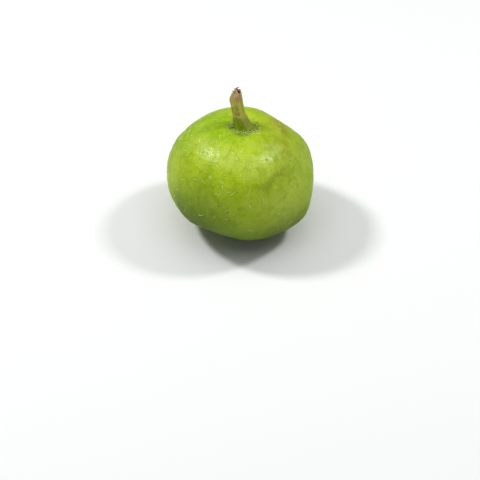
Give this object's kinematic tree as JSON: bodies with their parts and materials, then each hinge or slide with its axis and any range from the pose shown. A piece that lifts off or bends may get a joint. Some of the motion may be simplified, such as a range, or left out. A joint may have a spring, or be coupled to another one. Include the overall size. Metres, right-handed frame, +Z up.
{
  "type": "apple gourd",
  "caption": "Round green gourd fruit, a little wider than high, with its cut ridged stem, resting on a small flat spot.",
  "frame": {"origin": "middle of the part's footprint box, on the surface that it rests on", "axes": "+Z up through the stem end, -Y towards the front of the fruit, where another fruit pressed a broad flat low down"},
  "size_m": [0.0622, 0.0612, 0.0678],
  "materials": {
    "skin": "satin",
    "stem": "matte"
  },
  "bodies": {
    "root": {"fruit": "skin", "stem": "stem"}
  },
  "joints": []
}
